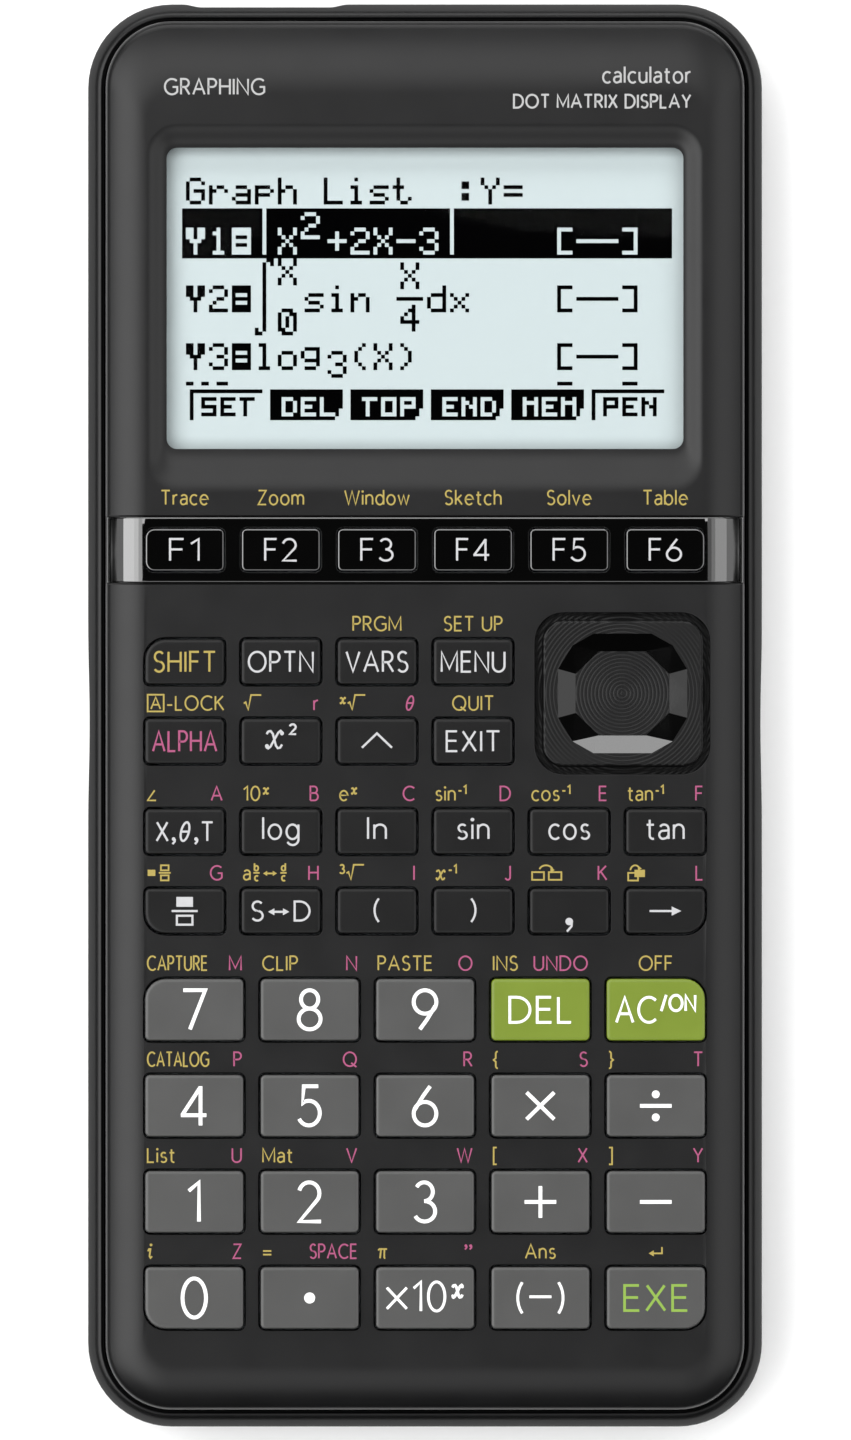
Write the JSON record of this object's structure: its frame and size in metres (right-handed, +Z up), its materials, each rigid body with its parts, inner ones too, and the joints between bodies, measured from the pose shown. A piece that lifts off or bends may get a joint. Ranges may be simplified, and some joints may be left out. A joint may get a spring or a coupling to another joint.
{
  "type": "graphing calculator",
  "caption": "Flat handheld graphing calculator with a dot matrix display, glossy function key strip, faceted cursor pad, key grid and a battery cover underneath.",
  "frame": {"origin": "middle of the flat underside of the case", "axes": "+Z up out of the keys, +Y towards the display end, +X to the right of a person reading the display"},
  "size_m": [0.0834, 0.176, 0.0186],
  "materials": {
    "case": "fine satin grain, near black",
    "gloss_strip": "high gloss black",
    "function_keys": "high gloss black with white legends",
    "small_keys": "satin black with coloured legends",
    "large_keys": "satin warm grey with white legends",
    "green_keys": "satin yellow green with white legends",
    "cursor_pad": "semi-gloss black with fine turned grooves",
    "display_window": "clear, polished",
    "lcd": "pale grey blue reflective liquid crystal display",
    "key_mat": "grey silicone",
    "circuit_board": "green solder mask",
    "battery_cells": "printed foil sleeve with bare metal ends",
    "socket_metal": "plated",
    "restart_button": "satin"
  },
  "bodies": {
    "chassis": {"front_case": "case", "rear_case": "case", "display_window": "display_window", "lcd_panel": "lcd", "function_key_strip": "gloss_strip", "key_mat": "key_mat", "circuit_board": "circuit_board", "battery_cells": "battery_cells", "usb_socket": "socket_metal", "link_socket": "socket_metal"},
    "battery_door": {"battery_cover": "case"},
    "restart": {"restart_button": "restart_button"},
    "pad_rocker": {"cursor_pad_post": "key_mat"},
    "pad": {"cursor_pad": "cursor_pad"},
    "cap_f1": {"key_f1": "function_keys"},
    "cap_f2": {"key_f2": "function_keys"},
    "cap_f3": {"key_f3": "function_keys"},
    "cap_f4": {"key_f4": "function_keys"},
    "cap_f5": {"key_f5": "function_keys"},
    "cap_f6": {"key_f6": "function_keys"},
    "cap_shift": {"key_shift": "small_keys"},
    "cap_option": {"key_option": "small_keys"},
    "cap_variables": {"key_variables": "small_keys"},
    "cap_menu": {"key_menu": "small_keys"},
    "cap_alpha": {"key_alpha": "small_keys"},
    "cap_square": {"key_square": "small_keys"},
    "cap_power": {"key_power": "small_keys"},
    "cap_exit": {"key_exit": "small_keys"},
    "cap_unknown": {"key_unknown": "small_keys"},
    "cap_log": {"key_log": "small_keys"},
    "cap_ln": {"key_ln": "small_keys"},
    "cap_sin": {"key_sin": "small_keys"},
    "cap_cos": {"key_cos": "small_keys"},
    "cap_tan": {"key_tan": "small_keys"},
    "cap_fraction": {"key_fraction": "small_keys"},
    "cap_convert": {"key_convert": "small_keys"},
    "cap_bracket_open": {"key_bracket_open": "small_keys"},
    "cap_bracket_close": {"key_bracket_close": "small_keys"},
    "cap_comma": {"key_comma": "small_keys"},
    "cap_store": {"key_store": "small_keys"},
    "cap_7": {"key_7": "large_keys"},
    "cap_8": {"key_8": "large_keys"},
    "cap_9": {"key_9": "large_keys"},
    "cap_delete": {"key_delete": "green_keys"},
    "cap_clear": {"key_clear": "green_keys"},
    "cap_4": {"key_4": "large_keys"},
    "cap_5": {"key_5": "large_keys"},
    "cap_6": {"key_6": "large_keys"},
    "cap_multiply": {"key_multiply": "large_keys"},
    "cap_divide": {"key_divide": "large_keys"},
    "cap_1": {"key_1": "large_keys"},
    "cap_2": {"key_2": "large_keys"},
    "cap_3": {"key_3": "large_keys"},
    "cap_plus": {"key_plus": "large_keys"},
    "cap_minus": {"key_minus": "large_keys"},
    "cap_0": {"key_0": "large_keys"},
    "cap_point": {"key_point": "large_keys"},
    "cap_exponent": {"key_exponent": "large_keys"},
    "cap_negate": {"key_negate": "large_keys"},
    "cap_execute": {"key_execute": "large_keys"}
  },
  "joints": [
    {"name": "battery_door_hinge", "type": "hinge", "parent": "chassis", "child": "battery_door", "pos_m": [0, 0.0787, 0.00015], "axis": [1, 0, 0], "range_deg": [0, 40]},
    {"name": "restart_press", "type": "slide", "parent": "chassis", "child": "restart", "axis": [0, 0, 1], "range_m": [0, 0.0004], "stiffness_N_per_m": 500, "springref_m": -0.0004},
    {"name": "pad_rock_left_right", "type": "hinge", "parent": "chassis", "child": "pad_rocker", "pos_m": [0.02437, 0.00272, 0.014], "axis": [0, 1, 0], "range_deg": [-2.5, 2.5], "stiffness_Nm_per_rad": 0.06},
    {"name": "pad_rock_up_down", "type": "hinge", "parent": "pad_rocker", "child": "pad", "pos_m": [0.02437, 0.00272, 0.014], "axis": [1, 0, 0], "range_deg": [-2.5, 2.5], "stiffness_Nm_per_rad": 0.06},
    {"name": "press_f1", "type": "slide", "parent": "chassis", "child": "cap_f1", "axis": [0, 0, -1], "range_m": [0, 0.0007], "stiffness_N_per_m": 500, "springref_m": -0.0006},
    {"name": "press_f2", "type": "slide", "parent": "chassis", "child": "cap_f2", "axis": [0, 0, -1], "range_m": [0, 0.0007], "stiffness_N_per_m": 500, "springref_m": -0.0006},
    {"name": "press_f3", "type": "slide", "parent": "chassis", "child": "cap_f3", "axis": [0, 0, -1], "range_m": [0, 0.0007], "stiffness_N_per_m": 500, "springref_m": -0.0006},
    {"name": "press_f4", "type": "slide", "parent": "chassis", "child": "cap_f4", "axis": [0, 0, -1], "range_m": [0, 0.0007], "stiffness_N_per_m": 500, "springref_m": -0.0006},
    {"name": "press_f5", "type": "slide", "parent": "chassis", "child": "cap_f5", "axis": [0, 0, -1], "range_m": [0, 0.0007], "stiffness_N_per_m": 500, "springref_m": -0.0006},
    {"name": "press_f6", "type": "slide", "parent": "chassis", "child": "cap_f6", "axis": [0, 0, -1], "range_m": [0, 0.0007], "stiffness_N_per_m": 500, "springref_m": -0.0006},
    {"name": "press_shift", "type": "slide", "parent": "chassis", "child": "cap_shift", "axis": [0, 0, -1], "range_m": [0, 0.0007], "stiffness_N_per_m": 500, "springref_m": -0.0006},
    {"name": "press_option", "type": "slide", "parent": "chassis", "child": "cap_option", "axis": [0, 0, -1], "range_m": [0, 0.0007], "stiffness_N_per_m": 500, "springref_m": -0.0006},
    {"name": "press_variables", "type": "slide", "parent": "chassis", "child": "cap_variables", "axis": [0, 0, -1], "range_m": [0, 0.0007], "stiffness_N_per_m": 500, "springref_m": -0.0006},
    {"name": "press_menu", "type": "slide", "parent": "chassis", "child": "cap_menu", "axis": [0, 0, -1], "range_m": [0, 0.0007], "stiffness_N_per_m": 500, "springref_m": -0.0006},
    {"name": "press_alpha", "type": "slide", "parent": "chassis", "child": "cap_alpha", "axis": [0, 0, -1], "range_m": [0, 0.0007], "stiffness_N_per_m": 500, "springref_m": -0.0006},
    {"name": "press_square", "type": "slide", "parent": "chassis", "child": "cap_square", "axis": [0, 0, -1], "range_m": [0, 0.0007], "stiffness_N_per_m": 500, "springref_m": -0.0006},
    {"name": "press_power", "type": "slide", "parent": "chassis", "child": "cap_power", "axis": [0, 0, -1], "range_m": [0, 0.0007], "stiffness_N_per_m": 500, "springref_m": -0.0006},
    {"name": "press_exit", "type": "slide", "parent": "chassis", "child": "cap_exit", "axis": [0, 0, -1], "range_m": [0, 0.0007], "stiffness_N_per_m": 500, "springref_m": -0.0006},
    {"name": "press_unknown", "type": "slide", "parent": "chassis", "child": "cap_unknown", "axis": [0, 0, -1], "range_m": [0, 0.0007], "stiffness_N_per_m": 500, "springref_m": -0.0006},
    {"name": "press_log", "type": "slide", "parent": "chassis", "child": "cap_log", "axis": [0, 0, -1], "range_m": [0, 0.0007], "stiffness_N_per_m": 500, "springref_m": -0.0006},
    {"name": "press_ln", "type": "slide", "parent": "chassis", "child": "cap_ln", "axis": [0, 0, -1], "range_m": [0, 0.0007], "stiffness_N_per_m": 500, "springref_m": -0.0006},
    {"name": "press_sin", "type": "slide", "parent": "chassis", "child": "cap_sin", "axis": [0, 0, -1], "range_m": [0, 0.0007], "stiffness_N_per_m": 500, "springref_m": -0.0006},
    {"name": "press_cos", "type": "slide", "parent": "chassis", "child": "cap_cos", "axis": [0, 0, -1], "range_m": [0, 0.0007], "stiffness_N_per_m": 500, "springref_m": -0.0006},
    {"name": "press_tan", "type": "slide", "parent": "chassis", "child": "cap_tan", "axis": [0, 0, -1], "range_m": [0, 0.0007], "stiffness_N_per_m": 500, "springref_m": -0.0006},
    {"name": "press_fraction", "type": "slide", "parent": "chassis", "child": "cap_fraction", "axis": [0, 0, -1], "range_m": [0, 0.0007], "stiffness_N_per_m": 500, "springref_m": -0.0006},
    {"name": "press_convert", "type": "slide", "parent": "chassis", "child": "cap_convert", "axis": [0, 0, -1], "range_m": [0, 0.0007], "stiffness_N_per_m": 500, "springref_m": -0.0006},
    {"name": "press_bracket_open", "type": "slide", "parent": "chassis", "child": "cap_bracket_open", "axis": [0, 0, -1], "range_m": [0, 0.0007], "stiffness_N_per_m": 500, "springref_m": -0.0006},
    {"name": "press_bracket_close", "type": "slide", "parent": "chassis", "child": "cap_bracket_close", "axis": [0, 0, -1], "range_m": [0, 0.0007], "stiffness_N_per_m": 500, "springref_m": -0.0006},
    {"name": "press_comma", "type": "slide", "parent": "chassis", "child": "cap_comma", "axis": [0, 0, -1], "range_m": [0, 0.0007], "stiffness_N_per_m": 500, "springref_m": -0.0006},
    {"name": "press_store", "type": "slide", "parent": "chassis", "child": "cap_store", "axis": [0, 0, -1], "range_m": [0, 0.0007], "stiffness_N_per_m": 500, "springref_m": -0.0006},
    {"name": "press_7", "type": "slide", "parent": "chassis", "child": "cap_7", "axis": [0, 0, -1], "range_m": [0, 0.0007], "stiffness_N_per_m": 500, "springref_m": -0.0006},
    {"name": "press_8", "type": "slide", "parent": "chassis", "child": "cap_8", "axis": [0, 0, -1], "range_m": [0, 0.0007], "stiffness_N_per_m": 500, "springref_m": -0.0006},
    {"name": "press_9", "type": "slide", "parent": "chassis", "child": "cap_9", "axis": [0, 0, -1], "range_m": [0, 0.0007], "stiffness_N_per_m": 500, "springref_m": -0.0006},
    {"name": "press_delete", "type": "slide", "parent": "chassis", "child": "cap_delete", "axis": [0, 0, -1], "range_m": [0, 0.0007], "stiffness_N_per_m": 500, "springref_m": -0.0006},
    {"name": "press_clear", "type": "slide", "parent": "chassis", "child": "cap_clear", "axis": [0, 0, -1], "range_m": [0, 0.0007], "stiffness_N_per_m": 500, "springref_m": -0.0006},
    {"name": "press_4", "type": "slide", "parent": "chassis", "child": "cap_4", "axis": [0, 0, -1], "range_m": [0, 0.0007], "stiffness_N_per_m": 500, "springref_m": -0.0006},
    {"name": "press_5", "type": "slide", "parent": "chassis", "child": "cap_5", "axis": [0, 0, -1], "range_m": [0, 0.0007], "stiffness_N_per_m": 500, "springref_m": -0.0006},
    {"name": "press_6", "type": "slide", "parent": "chassis", "child": "cap_6", "axis": [0, 0, -1], "range_m": [0, 0.0007], "stiffness_N_per_m": 500, "springref_m": -0.0006},
    {"name": "press_multiply", "type": "slide", "parent": "chassis", "child": "cap_multiply", "axis": [0, 0, -1], "range_m": [0, 0.0007], "stiffness_N_per_m": 500, "springref_m": -0.0006},
    {"name": "press_divide", "type": "slide", "parent": "chassis", "child": "cap_divide", "axis": [0, 0, -1], "range_m": [0, 0.0007], "stiffness_N_per_m": 500, "springref_m": -0.0006},
    {"name": "press_1", "type": "slide", "parent": "chassis", "child": "cap_1", "axis": [0, 0, -1], "range_m": [0, 0.0007], "stiffness_N_per_m": 500, "springref_m": -0.0006},
    {"name": "press_2", "type": "slide", "parent": "chassis", "child": "cap_2", "axis": [0, 0, -1], "range_m": [0, 0.0007], "stiffness_N_per_m": 500, "springref_m": -0.0006},
    {"name": "press_3", "type": "slide", "parent": "chassis", "child": "cap_3", "axis": [0, 0, -1], "range_m": [0, 0.0007], "stiffness_N_per_m": 500, "springref_m": -0.0006},
    {"name": "press_plus", "type": "slide", "parent": "chassis", "child": "cap_plus", "axis": [0, 0, -1], "range_m": [0, 0.0007], "stiffness_N_per_m": 500, "springref_m": -0.0006},
    {"name": "press_minus", "type": "slide", "parent": "chassis", "child": "cap_minus", "axis": [0, 0, -1], "range_m": [0, 0.0007], "stiffness_N_per_m": 500, "springref_m": -0.0006},
    {"name": "press_0", "type": "slide", "parent": "chassis", "child": "cap_0", "axis": [0, 0, -1], "range_m": [0, 0.0007], "stiffness_N_per_m": 500, "springref_m": -0.0006},
    {"name": "press_point", "type": "slide", "parent": "chassis", "child": "cap_point", "axis": [0, 0, -1], "range_m": [0, 0.0007], "stiffness_N_per_m": 500, "springref_m": -0.0006},
    {"name": "press_exponent", "type": "slide", "parent": "chassis", "child": "cap_exponent", "axis": [0, 0, -1], "range_m": [0, 0.0007], "stiffness_N_per_m": 500, "springref_m": -0.0006},
    {"name": "press_negate", "type": "slide", "parent": "chassis", "child": "cap_negate", "axis": [0, 0, -1], "range_m": [0, 0.0007], "stiffness_N_per_m": 500, "springref_m": -0.0006},
    {"name": "press_execute", "type": "slide", "parent": "chassis", "child": "cap_execute", "axis": [0, 0, -1], "range_m": [0, 0.0007], "stiffness_N_per_m": 500, "springref_m": -0.0006}
  ]
}
